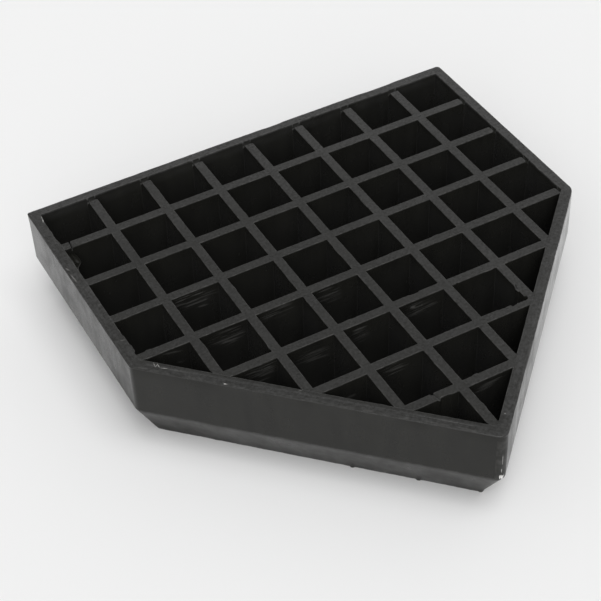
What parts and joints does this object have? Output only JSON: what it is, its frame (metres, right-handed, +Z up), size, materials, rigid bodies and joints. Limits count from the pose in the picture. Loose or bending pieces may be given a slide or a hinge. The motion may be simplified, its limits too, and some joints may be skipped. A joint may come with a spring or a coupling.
{
  "type": "home plate",
  "caption": "Five-sided rubber home plate lying on its white playing face, with a bevelled black skirt and a waffle of open ribbed cells on its underside.",
  "frame": {"origin": "under the middle of the plate's box, on the surface that the white playing face lies on", "axes": "+Z up from the playing face to the ribbed underside, +Y towards the straight front edge, -Y towards the point, +X to the right seen from the point"},
  "size_m": [0.48, 0.4842, 0.1016],
  "materials": {
    "white_rubber": "matte moulded rubber",
    "black_rubber": "satin moulded rubber"
  },
  "bodies": {
    "root": {"playing_surface": "white_rubber", "bevelled_deck": "black_rubber", "front_wall": "black_rubber", "left_wall": "black_rubber", "right_wall": "black_rubber", "left_slant_wall": "black_rubber", "right_slant_wall": "black_rubber", "row_rib_1": "black_rubber", "row_rib_2": "black_rubber", "row_rib_3": "black_rubber", "row_rib_4": "black_rubber", "row_rib_5": "black_rubber", "row_rib_6": "black_rubber", "row_rib_7": "black_rubber", "column_rib_1": "black_rubber", "column_rib_2": "black_rubber", "column_rib_3": "black_rubber", "column_rib_4": "black_rubber", "column_rib_5": "black_rubber", "column_rib_6": "black_rubber", "column_rib_7": "black_rubber"}
  },
  "joints": []
}
